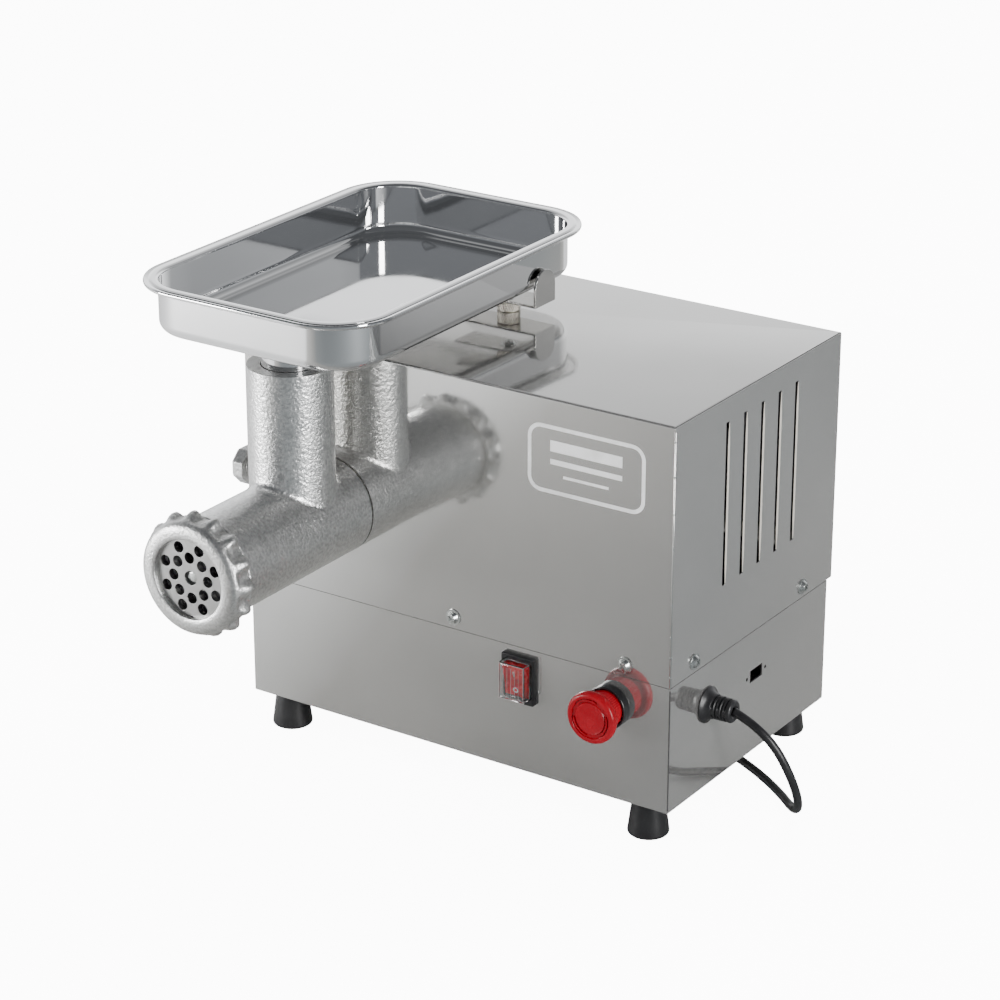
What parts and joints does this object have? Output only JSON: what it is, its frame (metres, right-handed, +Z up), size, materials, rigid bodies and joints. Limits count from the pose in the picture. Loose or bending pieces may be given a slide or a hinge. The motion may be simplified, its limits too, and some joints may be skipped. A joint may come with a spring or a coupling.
{
  "type": "electric meat grinder",
  "caption": "Countertop electric meat grinder: folded steel cabinet, cast grinding head with ring nut, loose feed pan on its neck, rocker switch and mushroom stop button.",
  "frame": {"origin": "on the standing surface, under the middle of the outline of the machine without its lead", "axes": "+X to the right along the front panel, +Y from the front panel to the back, +Z up; the grinding head points along -Y"},
  "size_m": [0.4766, 0.6239, 0.388],
  "materials": {
    "cabinet_steel": "satin",
    "pan_steel": "polished",
    "stay_steel": "satin",
    "fasteners": "zinc plated",
    "post": "dulled, knurled",
    "cast_head": "rough cast",
    "plate_steel": "ground",
    "machined_steel": "machined",
    "cast_housing": "cast",
    "painted_frame": "painted",
    "rubber": "smooth",
    "lead_jacket": "smooth",
    "black_plastic": "gloss",
    "pins": "plated",
    "red_plastic": "gloss",
    "red_window": "translucent",
    "clear_hood": "clear",
    "light_plastic": "matte"
  },
  "bodies": {
    "cabinet": {"base_pan": "cabinet_steel", "top_cover": "cabinet_steel", "cover_screws": "fasteners", "rubber_foot_front_left": "rubber", "rubber_foot_front_right": "rubber", "rubber_foot_rear_left": "rubber", "rubber_foot_rear_right": "rubber", "foot_screws": "fasteners", "rocker_housing": "black_plastic", "rocker_hood": "clear_hood", "stop_collar": "black_plastic", "stop_locknut": "black_plastic", "stop_contacts": "black_plastic", "head_socket": "cast_housing", "socket_bolts": "fasteners", "gearbox_case": "cast_housing", "gearbox_lid": "cast_housing", "drive_bearings": "machined_steel", "lay_bearings": "machined_steel", "motor_bearings": "machined_steel", "motor_frame": "cast_housing", "motor_stator": "machined_steel", "motor_end_shield": "cast_housing", "fan_cowl": "painted_frame", "drive_frame": "painted_frame", "run_capacitor": "light_plastic", "capacitor_clip": "painted_frame", "terminal_block": "black_plastic", "pan_stay": "stay_steel", "stay_post": "post", "stay_screw": "fasteners", "cable_gland": "lead_jacket", "gland_nut": "black_plastic", "mains_lead": "lead_jacket", "lead_coil": "lead_jacket", "lead_tail": "lead_jacket", "mains_plug": "black_plastic", "plug_pins": "pins"},
    "head": {"head_casting": "cast_head", "plate_key": "plate_steel", "grinding_plate": "plate_steel"},
    "ring_nut": {"ring_nut": "cast_head"},
    "auger": {"feed_screw": "plate_steel", "screw_pin": "plate_steel", "knife": "plate_steel"},
    "pan": {"feed_pan": "pan_steel", "pan_spout": "pan_steel"},
    "clamp": {"clamp_screw": "plate_steel", "clamp_knob": "cast_head"},
    "drive": {"drive_shaft": "machined_steel", "drive_gear": "machined_steel"},
    "lay": {"lay_shaft": "machined_steel", "lay_gear": "machined_steel", "lay_pinion": "machined_steel"},
    "motor": {"motor_rotor": "machined_steel", "motor_pinion": "machined_steel", "cooling_fan": "light_plastic"},
    "stop_stem": {"stop_stem": "black_plastic"},
    "stop_cap": {"stop_cap": "red_plastic"},
    "rocker": {"rocker_paddle": "red_window"}
  },
  "joints": [
    {"name": "drive_spin", "type": "hinge", "parent": "cabinet", "child": "drive", "pos_m": [-0.0958, -0.0342, 0.2024], "axis": [0, 1, 0], "continuous": true},
    {"name": "lay_spin", "type": "hinge", "parent": "cabinet", "child": "lay", "pos_m": [-0.0263, -0.0342, 0.1838], "axis": [0, 1, 0], "continuous": true},
    {"name": "motor_spin", "type": "hinge", "parent": "cabinet", "child": "motor", "pos_m": [0.0357, -0.0342, 0.1729], "axis": [0, 1, 0], "continuous": true},
    {"name": "auger_spin", "type": "hinge", "parent": "head", "child": "auger", "pos_m": [-0.0958, -0.0342, 0.2024], "axis": [0, 1, 0], "continuous": true},
    {"name": "head_slide", "type": "slide", "parent": "cabinet", "child": "head", "axis": [0, -1, 0], "range_m": [0, 0.08]},
    {"name": "nut_turn", "type": "hinge", "parent": "head", "child": "ring_nut", "pos_m": [-0.0958, -0.0342, 0.2024], "axis": [0, 1, 0], "range_deg": [0, 900]},
    {"name": "pan_lift", "type": "slide", "parent": "head", "child": "pan", "axis": [0, 0, 1], "range_m": [0, 0.08]},
    {"name": "clamp_turn", "type": "hinge", "parent": "cabinet", "child": "clamp", "pos_m": [-0.2043, -0.0052, 0.2024], "axis": [-1, 0, 0], "range_deg": [0, 1080]},
    {"name": "stop_press", "type": "slide", "parent": "cabinet", "child": "stop_stem", "axis": [0, 1, 0], "range_m": [0, 0.0045]},
    {"name": "stop_twist", "type": "hinge", "parent": "stop_stem", "child": "stop_cap", "pos_m": [0.152, -0.0342, 0.1023], "axis": [0, 1, 0], "range_deg": [0, 45]},
    {"name": "rocker_tilt", "type": "hinge", "parent": "cabinet", "child": "rocker", "pos_m": [0.0738, -0.0362, 0.1034], "axis": [-1, 0, 0], "range_deg": [0, 24]}
  ],
  "couplings": [
    {"joint": "lay_spin", "follows": "drive_spin", "ratio": -3},
    {"joint": "motor_spin", "follows": "drive_spin", "ratio": 9},
    {"joint": "auger_spin", "follows": "drive_spin", "ratio": 1}
  ]
}
